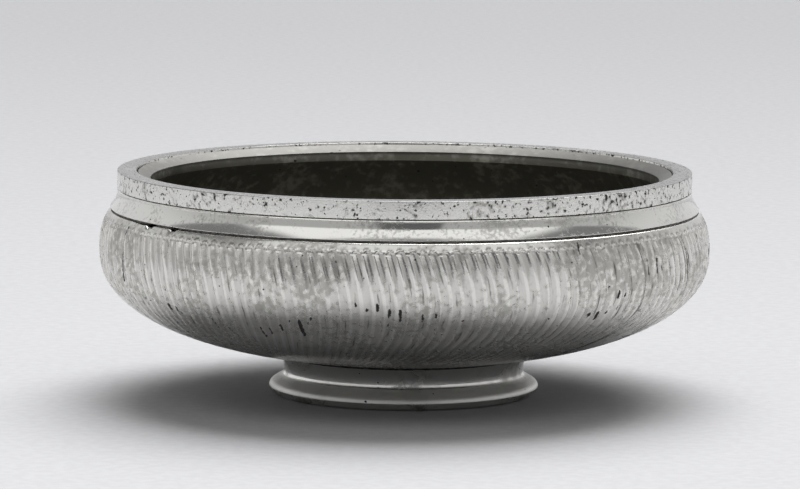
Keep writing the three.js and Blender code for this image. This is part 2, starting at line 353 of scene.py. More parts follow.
def add_parts(tree, value, *parts):
    """The value with more added to it. Each part is a socket and how much of it counts."""
    for other, weight in parts:
        value = calculate(tree, "ADD", value, calculate(tree, "MULTIPLY", other, weight))
    return value


def rising(tree, share, base, rise):
    """The base where share is 0, and higher by the rise where it is 1."""
    sockets = {0: share, 1: rise, 2: base}
    return add_node(tree, "ShaderNodeMath", sockets, operation="MULTIPLY_ADD").outputs[0]


def at_least(tree, value, share, least):
    """The value, but no less than the share times least."""
    return calculate(tree, "MAXIMUM", value, calculate(tree, "MULTIPLY", share, least))


def lay_over(tree, colour, share, strength, second):
    """A colour with a second one laid over it, as thick as the share times the strength."""
    return mix_colours(tree, calculate(tree, "MULTIPLY", share, strength), colour, second)


def black_pits(tree, where, spacing, largest, share):
    """1 inside small ragged corrosion pits, in a share of the cells of a random net."""
    push = {"Vector": where, "Scale": PIT_RAGGED_SCALE, "Detail": PIT_RAGGED_DETAIL}
    push = add_node(tree, "ShaderNodeTexNoise", push)
    shift = {0: push.outputs[1], 1: (PIT_RAGGED,) * 3}
    shift = add_node(tree, "ShaderNodeVectorMath", shift, operation="MULTIPLY")
    ragged = add_node(tree, "ShaderNodeVectorMath", {0: where, 1: shift.outputs[0]})
    net = {"Vector": ragged.outputs[0], "Scale": 1000 / spacing}
    cells = add_node(tree, "ShaderNodeTexVoronoi", net)
    chance = add_node(tree, "ShaderNodeSeparateColor", {0: cells.outputs["Color"]})
    chosen = calculate(tree, "LESS_THAN", chance.outputs[0], share)
    size = calculate(tree, "MULTIPLY", chance.outputs[1], largest / spacing)
    from_middle = calculate(tree, "DIVIDE", cells.outputs["Distance"], size)
    return calculate(tree, "MULTIPLY", step_between(tree, from_middle, *PIT_EDGE), chosen)


def silver_shader(tree, colour, roughness, dark, height, depth):
    """Silver with its own colour, roughness and relief. dark is 1 where a pit has eaten it away."""
    relief = add_node(tree, "ShaderNodeBump", {"Height": height, "Distance": depth * MM})
    lost_shine = calculate(tree, "MULTIPLY", dark, PIT_DULLING)
    sockets = {
        "Base Color": mix_colours(tree, dark, colour, PIT_BLACK),
        "Metallic": calculate(tree, "SUBTRACT", 1.0, lost_shine),
        "Roughness": at_least(tree, roughness, dark, PIT_ROUGHNESS),
        "Normal": relief.outputs[0],
    }
    surface = add_node(tree, "ShaderNodeBsdfPrincipled", sockets)
    add_node(tree, "ShaderNodeOutputMaterial", {"Surface": surface.outputs[0]})


random = np.random.default_rng(31)
foot_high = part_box("foot_ring")[1]
foot_top = foot_high.z / MM
flange_radius = foot_high.x / MM
flange_arc = arc(
    (flange_radius - FLANGE_HALF_WIDTH, FLANGE_LEVEL),
    FLANGE_HALF_WIDTH, FLANGE_HALF_HEIGHT, FLANGE_UNDER, FLANGE_JOIN, FLANGE_STEPS
)
narrowest = foot_top - FOOT_WAIST_DROP
flare = np.linspace(1, 0, FLARE_STEPS + 1)[:-1]
flare_radius = FOOT_WAIST_RADIUS + FOOT_FLARE * flare**FLARE_POWER
flare_height = narrowest + (flange_arc[-1][1] + FOOT_FILLET - narrowest) * flare
spread = np.linspace(0, 1, SPREAD_STEPS + 1)
spread_radius = FOOT_WAIST_RADIUS + FOOT_SPREAD * spread**2
seat_inner = FOOT_SEAT_OUTER - FOOT_SEAT_WIDTH
seat_under = foot_top - FOOT_SEAT_DEPTH
foot_section = [
    (FOOT_REST_RADIUS - FOOT_REST_WIDTH + FOOT_CHAMFER, 0),
    (FOOT_REST_RADIUS - FOOT_CHAMFER, 0),
    (FOOT_REST_RADIUS, FOOT_EDGE_RISE),
    *flange_arc,
    *zip(flare_radius, flare_height),
    *zip(spread_radius, narrowest + FOOT_WAIST_DROP * spread),
    (seat_inner, foot_top),
    (seat_inner, seat_under),
    (FOOT_WAIST_RADIUS - FOOT_WALL, seat_under),
    (FOOT_REST_RADIUS - FOOT_REST_WIDTH, FOOT_CHAMFER),
]
foot_material, tree, where = empty_material("foot_silver")
foot_place = add_node(tree, "ShaderNodeSeparateXYZ", {0: where})
side = calculate(tree, "ABSOLUTE", foot_place.outputs["X"])
far_side = step_between(tree, side, *FOOT_FAR_SIDE)
clouds = noise(tree, where, *FOOT_CLOUDS)
grain = noise(tree, where, *FOOT_GRAIN)
dull = step_between(tree, add_parts(tree, clouds, (far_side, 0.14)), *FOOT_DULL_EDGE)
below_frost_top = step_between(tree, foot_place.outputs["Z"], *FROST_TOP)
above_frost_bottom = step_between(tree, foot_place.outputs["Z"], *FROST_BOTTOM)
frosted = calculate(tree, "MULTIPLY", below_frost_top, above_frost_bottom)
foot_colour = mix_colours(tree, dull, FOOT_BRIGHT, FOOT_DULL)
foot_colour = lay_over(tree, foot_colour, frosted, FROST_STRENGTH, FLANGE_FROST)
foot_rough = rising(tree, dull, FOOT_SMOOTH, FOOT_ROUGHER)
foot_rough = at_least(tree, foot_rough, frosted, FROST_ROUGHNESS)
pits = black_pits(tree, where, *FOOT_PITS)
silver_shader(tree, foot_colour, foot_rough, pits, grain, FOOT_RELIEF)
foot_rings = add_wobble(turned_rings(foot_section, FOOT_SIDES), FOOT_WOBBLE, random)
foot = wrapped_piece("turned_foot", foot_rings, None, TURNED_CREASE, foot_material)
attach(foot, "root")
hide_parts("foot_ring")

# Foot seam: old soft solder between the foot and the casing's flat bottom. It was run in by hand,
# so its edge swells and shrinks, and it has turned dark.
SEAM_SIDES = 360
SOLDER_INSET = 0.35
SOLDER_WAVES = range(5, 60, 6)
SOLDER_WAVE_DIVIDER = 9
SOLDER_UNEVEN = 0.16
SOLDER_BULGE = 0.12
SOLDER_THINNEST = 0.1
SOLDER_CREASE = math.radians(40)
SOLDER_DARK = (0.075, 0.07, 0.065, 1)
SOLDER_GREY = (0.20, 0.195, 0.185, 1)
SOLDER_LUMPS = (1.4, 4.0)
SOLDER_GREY_EDGE = (0.4, 0.65)
SOLDER_ROUGH_EDGE = (-0.6, 1.2)
SOLDER_PITS = (1.2, 0.4, 0.3)
SOLDER_RELIEF = 0.1


def solder_ring(inner, outer, bottom, top, random, spare):
    """A flat ring of solder whose outer edge is uneven. spare is the share left at each side."""
    angle = np.linspace(0, 2 * math.pi, SEAM_SIDES, endpoint=False)
    uneven = np.zeros(SEAM_SIDES)
    for waves in SOLDER_WAVES:
        uneven += np.sin(waves * angle + random.uniform(0, 2 * math.pi)) / SOLDER_WAVE_DIVIDER
    inner_edge = np.full(SEAM_SIDES, inner)
    outer_edge = inner + (outer - inner) * spare * (1 + SOLDER_UNEVEN * uneven)
    middle = (bottom + top) / 2
    ring = []
    for radius, height in [
        (inner_edge, bottom),
        (outer_edge, bottom),
        (outer_edge + SOLDER_BULGE * spare, middle),
        (outer_edge, top),
        (inner_edge, top),
    ]:
        height = middle + (height - middle) * np.maximum(spare, SOLDER_THINNEST)
        ring.append(np.stack([radius * np.cos(angle), radius * np.sin(angle), height], -1))
    return np.array(ring)


solder_material, tree, where = empty_material("old_soft_solder")
lumps = noise(tree, where, *SOLDER_LUMPS)
greyed = step_between(tree, lumps, *SOLDER_GREY_EDGE)
solder_colour = mix_colours(tree, greyed, SOLDER_DARK, SOLDER_GREY)
solder_rough = step_between(tree, lumps, *SOLDER_ROUGH_EDGE)
pits = black_pits(tree, where, *SOLDER_PITS)
silver_shader(tree, solder_colour, solder_rough, pits, lumps, SOLDER_RELIEF)
foot_seam_low, foot_seam_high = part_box("foot_solder")
foot_seam_rings = solder_ring(
    seat_inner, FOOT_SEAT_OUTER - SOLDER_INSET,
    foot_seam_low.z / MM, foot_seam_high.z / MM, random, np.ones(SEAM_SIDES)
)
foot_seam = wrapped_piece(
    "foot_solder_seam", foot_seam_rings, None, SOLDER_CREASE, solder_material
)
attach(foot_seam, "root")
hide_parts("foot_solder")

# Casing: the outer bowl, raised from thin silver sheet and chased with 176 narrow flutes that run
# up from the foot, stand upright below the belly and end in round arches under a plain band. Dirt
# and tarnish lie in the flutes, and the top edge has one shallow and two deep breaks on the left.
# Towards the foot the casing is painted darker, which is painted shade, and a painted shadow lies
# above each arch.
FLUTE_COUNT = 176
FLUTE_ACROSS = np.array([0, 0.10, 0.20, 0.35, 0.50, 0.65, 0.80, 0.90])
FLUTE_HALF = 0.40
FLUTE_DEPTH = 0.36
FLUTE_LEAN = 0.42
LEAN_REACH = 14
STRAIGHT_BELOW = 7
# How much the flutes differ by hand: in depth, in place, in their slow sway, and at the arches
DEPTH_VARIES = 0.16
PLACE_VARIES = 0.045
SWAY_VARIES = 0.03
SWAY_LENGTH = 4
ARCH_VARIES = 0.10
FLUTE_START_FADE = 1.5
FLUTE_END_FADE = 0.5
BELLY_LEVEL_DROP = 10.5
SHOULDER_DROP = 2.7
SHOULDER_POWER = 2.7
CASING_WALL = 1.3
DISH_WIDTH_POWER = 2.29
DISH_DEPTH_POWER = 2.22
DISH_STEPS = 27
ARCH_TOP = 1.9
ARCH_HEIGHT = 1.15
# A ridge and a crease round each arch: the height or depth, the distance from the arch, the width
ARCH_RIDGE = (0.07, 0.1, 0.18)
ARCH_CREASE = (0.10, 0.48, 0.2)
# Where the painted shadow above each arch lies, from the arch, and how wide it is
ARCH_SHADOW_FROM = 0.45
ARCH_SHADOW_WIDTH = 0.17
# Heights above the belly, closest together where the arches need most points
SHOULDER_LEVELS = [1.2, 2.4, 3.6, 4.7, 5.6, 6.3, 6.75, 7.05, 7.3, 7.55, 7.8, 8.05, 8.3, 8.55, 8.85,
                   9.2, 9.7, 10.1, 10.4, 10.5]
TOP_EDGE_ROUNDING = (0.04, 0.22)
INNER_SHOULDER_LEVELS = np.array([10.35, 7.0, 4.0])
INNER_EDGE_BEVEL = 0.1
INNER_DISH_STEPS = 6
INNER_EDGE_RINGS = 2
# The underside's rings, from the punch mark in the middle out to the foot, and how high they lie
PUNCH_RINGS = [(0.6, 0.12), (1.1, 0.0), (1.7, 0.0), (12, 0.0), (22, 0.0), (29, 0.0)]
PUNCH_DEPTH = 0.35
BAND_WAVE = 0.05
BAND_WAVES = 37
# Breaks in the top edge: the middle and half width in degrees from the front, and the depth
EDGE_BREAKS = [(-60.5, 3.6, 0.25), (-57.0, 1.5, 0.75), (-49.4, 1.2, 0.6)]
BREAK_MEAN = 0.7
BREAK_RAGGED = 0.3
BREAK_TEETH = (9, 23)
BREAK_STEEPNESS = 1.6
# Black stains in the flutes: degrees from the front, then the upper and the lower end, and how dark
STAINS = [
    (-8.8, 34.0, 32.0, 1.0), (-6.8, 33.0, 31.0, 1.0), (-4.8, 34.0, 31.7, 1.0),
    (-2.7, 32.7, 30.3, 1.0), (-0.7, 32.0, 29.0, 1.0), (3.0, 32.9, 32.5, 0.9),
    (3.4, 31.0, 28.7, 0.9), (5.8, 31.7, 29.3, 0.9), (-20.0, 29.0, 24.2, 1.3),
    (-17.5, 29.4, 28.6, 0.9), (-18.2, 28.4, 27.6, 0.9), (-22.0, 28.6, 27.6, 0.9),
    (-24.2, 27.0, 25.0, 1.0), (-27.0, 26.0, 23.5, 1.0), (-29.0, 26.0, 23.0, 1.0),
    (7.5, 26.4, 25.6, 0.8), (10.9, 29.4, 28.6, 0.8), (2.8, 24.4, 23.6, 0.8),
    (-3.0, 29.0, 27.7, 0.9), (-5.2, 26.7, 25.9, 0.8), (37.0, 30.0, 28.0, 1.1),
    (39.0, 30.2, 27.8, 1.2), (41.2, 29.6, 28.2, 1.0), (43.0, 34.7, 32.5, 1.0),
    (44.8, 34.2, 32.3, 1.0), (34.0, 41.5, 40.5, 0.9), (53.5, 42.0, 36.7, 0.9),
    (33.7, 47.7, 44.7, 0.9), (28.7, 26.4, 25.6, 0.9), (30.7, 26.4, 25.6, 0.9),
    (33.2, 26.4, 25.6, 0.9), (35.2, 26.4, 25.6, 0.9), (45.0, 26.4, 25.6, 0.9),
    (-64.7, 47.7, 33.0, 0.8), (-50.5, 29.7, 27.0, 0.9), (-48.5, 29.2, 27.0, 0.9),
    (-43.5, 36.0, 35.0, 0.8), (-40.0, 27.0, 22.5, 0.8), (-37.0, 26.0, 22.0, 0.8),
]
STAIN_HALF_WIDTH = 0.42
STAIN_SPREAD = 0.4
STAIN_FADE = 0.6
CASING_WOBBLE = 0.05
CHASED_CREASE = math.radians(50)
CASING_RIDGE = (0.80, 0.79, 0.755, 1)
CASING_HOLLOW = (0.66, 0.65, 0.62, 1)
CASING_BAND = (0.60, 0.595, 0.565, 1)
CASING_DULL = (0.40, 0.39, 0.36, 1)
# One dark colour for real dirt, for painted shade below and for painted shadow above the arches
CASING_DIRT_AND_SHADE = (0.085, 0.08, 0.07, 1)
CASING_STREAKS = (0.9, 4.0)
STREAK_SQUEEZE = 0.16
STREAK_LIFT = 0.1
CASING_CLOUDS = (16.0, 4.0)
CASING_MOTTLE = (1.5, 5.0)
CASING_GRAIN = (0.6, 3.0)
CASING_RIGHT_SIDE = (0.030, 0.062)
# Heights in metres between which the painted shade on the underside grows from none to full
CASING_SHADED_UNDERSIDE = (0.021, 0.013)
CASING_DULL_EDGE = (0.86, 1.14)
DIRT_EDGE = (0.58, 0.80)
SPOT_EDGE = (0.71, 0.76)
STAIN_EDGE = (0.98, 1.12)
FLUTE_COLOUR_EDGE = (0.03, 0.36)
BAND_EDGE_BELOW = 2.0
BAND_EDGE_ABOVE = 1.4
WEAR_DIRT_AND_SHADOW_STRENGTH = 0.8
UNDERSIDE_SHADE_STRENGTH = 0.6
CASING_SMOOTH = 0.2
CASING_ROUGHER = 0.2
CASING_PITS = (1.4, 0.30, 0.10)
CASING_RELIEF = 0.03


def dish_curve(floor_radius, floor_z, widest_radius, widest_z, steps):
    """A bowl's wall from the edge of its flat floor out to its widest level."""
    start = math.asin((floor_radius / widest_radius) ** (DISH_WIDTH_POWER / 2))
    turn = np.linspace(start, math.pi / 2, steps + 1)
    depth = (widest_z - floor_z) / math.cos(start) ** (2 / DISH_DEPTH_POWER)
    out = np.sin(turn) ** (2 / DISH_WIDTH_POWER)
    down = np.maximum(np.cos(turn), 0) ** (2 / DISH_DEPTH_POWER)
    return np.column_stack([widest_radius * out, widest_z - depth * down])


def smooth_rise(value):
    """0 below 0, 1 above 1 and smooth between them."""
    share = np.clip(value, 0, 1)
    return share * share * (3 - 2 * share)


def bell(value, middle, width):
    """1 at the middle, falling smoothly to 0 on both sides."""
    return np.exp(-(((value - middle) / width) ** 2))


def from_front(degrees):
    """Turns degrees from the X axis into degrees from the front, between -180 and 180."""
    return (degrees + 90 + 180) % 360 - 180


def near_break(degrees, middle, half_width, steepness):
    """1 in the middle of a break in the edge, and 0 outside it."""
    return smooth_rise(steepness * (1 - np.abs(degrees - middle) / half_width))


def keep_on_points(mesh, name, values):
    """Keeps one number for each point of a mesh, for its material to read."""
    full = np.zeros(len(mesh.vertices), np.float32)
    full[: values.size] = values.reshape(-1)
    mesh.attributes.new(name, "FLOAT", "POINT").data.foreach_set("value", full)


def kept(tree, name):
    """A number that the mesh keeps for each of its points."""
    return add_node(tree, "ShaderNodeAttribute", attribute_name=name).outputs["Fac"]


casing_low, casing_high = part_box("fluted_casing")
casing_top = casing_high.z / MM
seat_z = casing_low.z / MM
belly_radius = casing_high.x / MM
belly_z = casing_top - BELLY_LEVEL_DROP
shoulder = np.array(SHOULDER_LEVELS)
shoulder_radius = belly_radius - SHOULDER_DROP * (shoulder / BELLY_LEVEL_DROP) ** SHOULDER_POWER
shoulder_radius[-2:] -= TOP_EDGE_ROUNDING
underside = np.array([(radius, seat_z + rise) for radius, rise in PUNCH_RINGS])
dish = dish_curve(FOOT_SEAT_OUTER, seat_z, belly_radius, belly_z, DISH_STEPS)
outside = np.vstack([underside, dish, np.column_stack([shoulder_radius, belly_z + shoulder])])
inner_belly = belly_radius - CASING_WALL
inner_share = INNER_SHOULDER_LEVELS / BELLY_LEVEL_DROP
inner_radius = inner_belly - SHOULDER_DROP * inner_share**SHOULDER_POWER
inner_floor_z = seat_z + CASING_WALL
inside = np.vstack([
    [(inner_radius[0] + INNER_EDGE_BEVEL, casing_top)],
    np.column_stack([inner_radius, belly_z + INNER_SHOULDER_LEVELS]),
    dish_curve(FOOT_SEAT_OUTER, inner_floor_z, inner_belly, belly_z, INNER_DISH_STEPS)[::-1],
])

run = np.concatenate([[0], np.cumsum(np.hypot(*np.diff(outside, axis=0).T))])
widest = int(np.argmax(outside[:, 0]))
upright = run[widest] - STRAIGHT_BELOW
lean = FLUTE_LEAN * np.tanh((run - upright) / LEAN_REACH) / outside[:, 0]
lean_steps = (lean[1:] + lean[:-1]) / 2 * np.diff(run)
flute_turn = -np.concatenate([[0], np.cumsum(lean_steps)])
flute_turn -= flute_turn[widest]
flute_turn[: len(underside)] = flute_turn[len(underside)]

# Each array below has the rings first, then the flutes, then the places across one flute
pitch = 2 * math.pi / FLUTE_COUNT
flute_depth = 1 + DEPTH_VARIES * random.standard_normal(FLUTE_COUNT)
flute_shift = PLACE_VARIES * random.standard_normal(FLUTE_COUNT)
flute_wave = random.uniform(0, 2 * math.pi, FLUTE_COUNT)
arch_shift = ARCH_VARIES * random.standard_normal(FLUTE_COUNT)
ring_radius = outside[:, 0][:, None, None]
ring_height = outside[:, 1][:, None, None]
across = FLUTE_ACROSS[None, None, :]
flute_number = np.arange(FLUTE_COUNT)[None, :, None]
sway = flute_shift + SWAY_VARIES * np.sin(outside[:, 1][:, None] / SWAY_LENGTH + flute_wave)
angle = (flute_number + across + sway[:, :, None]) * pitch + flute_turn[:, None, None]
degrees = from_front(np.degrees(angle))
channel = np.maximum(1 - ((across - 0.5) / FLUTE_HALF) ** 2, 0)
arch_round = ARCH_HEIGHT * (1 - np.sqrt(channel))
arch_end = casing_top - ARCH_TOP + arch_shift[None, :, None] - arch_round
beyond = ring_height - arch_end
flute_begins = smooth_rise((ring_radius - FOOT_SEAT_OUTER) / FLUTE_START_FADE)
hollow = channel * (smooth_rise(-beyond / FLUTE_END_FADE) * flute_begins)
sunk = FLUTE_DEPTH * flute_depth[None, :, None] * ring_radius / belly_radius * hollow
raised = ARCH_RIDGE[0] * bell(beyond, *ARCH_RIDGE[1:])
creased = ARCH_CREASE[0] * bell(beyond, *ARCH_CREASE[1:])
wide_teeth = np.sin(degrees * BREAK_TEETH[0])
narrow_teeth = np.sin(degrees * BREAK_TEETH[1] + 1)
ragged = BREAK_MEAN + BREAK_RAGGED * wide_teeth * narrow_teeth
dip = np.zeros(degrees.shape)
for middle, half_width, break_depth in EDGE_BREAKS:
    dip += break_depth * ragged * near_break(degrees, middle, half_width, BREAK_STEEPNESS)
band = smooth_rise((ring_height - casing_top + ARCH_TOP) / ARCH_TOP)
band_wave = BAND_WAVE * np.sin(np.radians(degrees) * BAND_WAVES + 1) * band * (1 - band) * 4
wall_radius = ring_radius - sunk + raised - creased + band_wave
wall_height = ring_height - dip * band
outer_rings = np.stack(
    [wall_radius * np.cos(angle), wall_radius * np.sin(angle), wall_height], -1
).reshape(len(outside), -1, 3)
inner_angle = angle[-1].reshape(-1)
inner_rings = np.stack([
    np.outer(inside[:, 0], np.cos(inner_angle)),
    np.outer(inside[:, 0], np.sin(inner_angle)),
    np.repeat(inside[:, 1][:, None], len(inner_angle), axis=1),
], -1)
inner_rings[:INNER_EDGE_RINGS, :, 2] -= dip[-1].reshape(-1)
casing_rings = add_wobble(np.vstack([outer_rings, inner_rings]), CASING_WOBBLE, random)

stain = np.zeros(degrees.shape)
for stain_degrees, upper, lower, darkness in STAINS:
    sideways = bell(degrees, stain_degrees, STAIN_HALF_WIDTH)
    below_upper = smooth_rise((upper - ring_height + STAIN_SPREAD) / STAIN_FADE)
    above_lower = smooth_rise((ring_height - lower + STAIN_SPREAD) / STAIN_FADE)
    stain = np.maximum(stain, darkness * sideways * (below_upper * above_lower))
# A painted shadow in a curve above each arch, laid over later in the dark colour
arch_painted_shadow = bell(beyond, ARCH_SHADOW_FROM, ARCH_SHADOW_WIDTH)
run_across = np.broadcast_to((flute_number + across) * pitch * belly_radius, angle.shape)
run_along = np.broadcast_to(run[:, None, None], angle.shape)

casing_material, tree, where = empty_material("chased_casing_silver")
casing_place = add_node(tree, "ShaderNodeSeparateXYZ", {0: where})
flute_place = add_node(tree, "ShaderNodeCombineXYZ", {
    0: kept(tree, "run_across"),
    1: calculate(tree, "MULTIPLY", kept(tree, "run_along"), STREAK_SQUEEZE),
})
streaks = noise(tree, flute_place.outputs[0], *CASING_STREAKS)
clouds = noise(tree, where, *CASING_CLOUDS)
mottle = noise(tree, where, *CASING_MOTTLE)
grain = noise(tree, where, *CASING_GRAIN)
right_side = step_between(tree, casing_place.outputs["X"], *CASING_RIGHT_SIDE)
# Painted shade: towards the underside the casing is painted darker, through its wear, its dirt and
# a dark colour laid over it
painted_shade_below = step_between(tree, casing_place.outputs["Z"], *CASING_SHADED_UNDERSIDE)
worn = add_parts(tree, mottle, (clouds, 0.8), (right_side, 0.08), (painted_shade_below, 0.04))
dull = step_between(tree, worn, *CASING_DULL_EDGE)
dull = calculate(tree, "MULTIPLY", dull, WEAR_DIRT_AND_SHADOW_STRENGTH)
lifted = calculate(tree, "ADD", streaks, STREAK_LIFT)
dirty = calculate(tree, "MULTIPLY", kept(tree, "hollow"), lifted)
dirty = add_parts(tree, dirty, (right_side, 0.06), (painted_shade_below, 0.06))
dirt = step_between(tree, dirty, *DIRT_EDGE)
spots = step_between(tree, add_parts(tree, streaks, (right_side, 0.06)), *SPOT_EDGE)
stains = step_between(tree, add_parts(tree, kept(tree, "stain"), (grain, 0.8)), *STAIN_EDGE)
in_flute = step_between(tree, kept(tree, "hollow"), *FLUTE_COLOUR_EDGE)
band_start = (casing_top - BAND_EDGE_BELOW) * MM
band_end = (casing_top - BAND_EDGE_ABOVE) * MM
on_band = step_between(tree, casing_place.outputs["Z"], band_start, band_end)
casing_colour = mix_colours(tree, in_flute, CASING_RIDGE, CASING_HOLLOW)
casing_colour = mix_colours(tree, on_band, casing_colour, CASING_BAND)
casing_colour = mix_colours(tree, dull, casing_colour, CASING_DULL)
# Real dirt in the flutes, painted shade towards the underside and the painted shadow above each
# arch, all laid over in one dark colour
for dirt_and_painted_shade, strength in [
    (painted_shade_below, UNDERSIDE_SHADE_STRENGTH),
    (dirt, WEAR_DIRT_AND_SHADOW_STRENGTH),
    (kept(tree, "arch_painted_shadow"), WEAR_DIRT_AND_SHADOW_STRENGTH),
]:
    casing_colour = lay_over(tree, casing_colour, dirt_and_painted_shade, strength, CASING_DIRT_AND_SHADE)
pits = black_pits(tree, where, *CASING_PITS)
dark = calculate(tree, "MAXIMUM", calculate(tree, "MAXIMUM", stains, pits), spots)
casing_rough = rising(tree, dull, CASING_SMOOTH, CASING_ROUGHER)
silver_shader(tree, casing_colour, casing_rough, dark, grain, CASING_RELIEF)
casing_ends = (seat_z + PUNCH_DEPTH, inner_floor_z)
casing = wrapped_piece(
    "chased_casing", casing_rings, casing_ends, CHASED_CREASE, casing_material
)
keep_on_points(casing.data, "hollow", hollow)
keep_on_points(casing.data, "stain", stain)
keep_on_points(casing.data, "arch_painted_shadow", arch_painted_shadow)
keep_on_points(casing.data, "run_across", run_across * MM)
keep_on_points(casing.data, "run_along", run_along * MM)
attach(casing, "root")
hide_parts("fluted_casing")

# Collar seam: the solder that joins the collar to the casing's top edge. It is dark and uneven,
# and it is lost at the two deep breaks, so that the hollow wall shows as a black gap.
GAP_STEEPNESS = 2.5
GAP_LOSS = 0.95

seam_degrees = from_front(np.linspace(0, 360, SEAM_SIDES, endpoint=False))
solder_left = np.ones(SEAM_SIDES)
for middle, half_width, _ in EDGE_BREAKS[1:]:
    solder_left -= GAP_LOSS * near_break(seam_degrees, middle, half_width, GAP_STEEPNESS)
collar_seam_low, collar_seam_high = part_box("collar_solder")
casing_top_radius = belly_radius - SHOULDER_DROP
collar_seam_rings = solder_ring(
    casing_top_radius - CASING_WALL, casing_top_radius - SOLDER_INSET,
    collar_seam_low.z / MM, collar_seam_high.z / MM, random, solder_left
)
collar_seam = wrapped_piece(
    "collar_solder_seam", collar_seam_rings, None, SOLDER_CREASE, solder_material
)
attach(collar_seam, "root")
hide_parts("collar_solder")

# Collar: a turned ring with a hollow-curved outside, between the casing and the rim. It is the
# best polished part, and mirrors the studio in long soft bands.
RING_SIDES = 360
COLLAR_INNER = 72.1
COLLAR_OVERHANG = 0.1
COLLAR_LIP = 0.2
COLLAR_FLARE = 2.1
COLLAR_EDGE = 0.35
COLLAR_POWER = 1.7
COLLAR_STEPS = 24
COLLAR_BOTTOM_BEVEL = 0.1
# Roundings of the collar's bottom edge: how far in from the edge, and how far up
COLLAR_BOTTOM_ROUNDING = [(0.2, 0.06), (0.06, 0.18)]
COLLAR_FILLET = 0.12
COLLAR_LIP_RISE = 0.14
COLLAR_BEVEL_WIDTH = 0.13
COLLAR_BEVEL_TOP = 0.40
GROOVE_DEPTH = 0.45
GROOVE_HEIGHT = 0.2
RIM_INSET = 4.8
COLLAR_WOBBLE = 0.05
COLLAR_BRIGHT = (0.70, 0.695, 0.665, 1)
COLLAR_DULL = (0.48, 0.475, 0.45, 1)
COLLAR_CLOUDS = (11.0, 4.0)
COLLAR_MOTTLE = (0.9, 4.0)
COLLAR_WAVES = (16.0, 2.0)
COLLAR_DULL_EDGE = (0.95, 1.22)
COLLAR_SMOOTH = 0.11
COLLAR_ROUGHER = 0.2
COLLAR_PITS = (1.5, 0.30, 0.16)
COLLAR_RELIEF = 0.15

collar_low, collar_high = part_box("collar_moulding")
collar_z = collar_low.z / MM
rim_z = collar_high.z / MM
rim_radius = belly_radius - RIM_INSET
collar_edge_radius = rim_radius + COLLAR_OVERHANG
collar_waist = collar_edge_radius - COLLAR_LIP
collar_bottom_radius = collar_waist + COLLAR_FLARE
hollow_top = rim_z - GROOVE_HEIGHT - COLLAR_EDGE
hollow_bottom = collar_z + COLLAR_EDGE
way_down = np.linspace(1, 0, COLLAR_STEPS + 1)
collar_hollow = zip(
    collar_waist + COLLAR_FLARE * way_down**COLLAR_POWER,
    hollow_top + (hollow_bottom - hollow_top) * way_down,
)
collar_section = [
    (COLLAR_INNER, collar_z),
    (collar_bottom_radius - COLLAR_EDGE - COLLAR_BOTTOM_BEVEL, collar_z),
    *[(collar_bottom_radius - inward, collar_z + up) for inward, up in COLLAR_BOTTOM_ROUNDING],
    *collar_hollow,
    (collar_waist + COLLAR_FILLET, hollow_top + COLLAR_FILLET),
    (collar_edge_radius, hollow_top + COLLAR_LIP_RISE),
    (collar_edge_radius - COLLAR_BEVEL_WIDTH, hollow_top + COLLAR_BEVEL_TOP),
    (rim_radius - GROOVE_DEPTH, rim_z),
    (COLLAR_INNER, rim_z),
]
collar_material, tree, where = empty_material("polished_collar_silver")
clouds = noise(tree, where, *COLLAR_CLOUDS)
mottle = noise(tree, where, *COLLAR_MOTTLE)
waves = noise(tree, where, *COLLAR_WAVES)
dull = step_between(tree, add_parts(tree, mottle, (clouds, 0.9)), *COLLAR_DULL_EDGE)
collar_colour = mix_colours(tree, dull, COLLAR_BRIGHT, COLLAR_DULL)
collar_rough = rising(tree, dull, COLLAR_SMOOTH, COLLAR_ROUGHER)
pits = black_pits(tree, where, *COLLAR_PITS)
silver_shader(tree, collar_colour, collar_rough, pits, waves, COLLAR_RELIEF)
collar_rings = add_wobble(turned_rings(collar_section, RING_SIDES), COLLAR_WOBBLE, random)
collar = wrapped_piece("turned_collar", collar_rings, None, TURNED_CREASE, collar_material)
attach(collar, "root")
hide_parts("collar_moulding")

# Rim: a heavy turned ring with a flat top, a rounded outer edge and a step inside that takes the
# liner's lip. A narrow groove parts it from the collar, and its outside is pitted all round. Its
# top is written dark, because it mirrors the soft light.
RIM_FLAT = 5.0
RIM_ROUNDING = 0.2
RIM_ROUNDING_STEPS = 8
RIM_SOFT_EDGE = 0.06
GROOVE_SOFT_EDGE = 0.05
REBATE_DEPTH = 2.6
REBATE_EDGE = 0.2
RIM_INNER = 67.85
RIM_WOBBLE = 0.06
RIM_BRIGHT = (0.74, 0.735, 0.705, 1)
RIM_DULL = (0.46, 0.455, 0.43, 1)
RIM_TOP = (0.15, 0.148, 0.142, 1)
RIM_CLOUDS = (8.0, 4.0)
RIM_MOTTLE = (1.1, 5.0)
RIM_GRAIN = (0.5, 3.0)
RIM_RIGHT_SIDE = (0.012, 0.05)
RIM_DULL_EDGE = (0.80, 1.0)
SPECK_EDGE = (0.63, 0.69)
# Distances below the rim's top, between which its top and its edge take over
RIM_TOP_EDGE = (0.22, 0.02)
RIM_UPPER_HALF = (1.3, 0.5)
RIM_SMOOTH = 0.22
RIM_ROUGHER = 0.2
RIM_PITS = (0.9, 0.36, 0.3)
RIM_RELIEF = 0.03


def near_rim_top(tree, height, low, high):
    """Rises from 0 to 1 between two distances below the rim's top, in millimetres."""
    return step_between(tree, height, (rim_top - low) * MM, (rim_top - high) * MM)


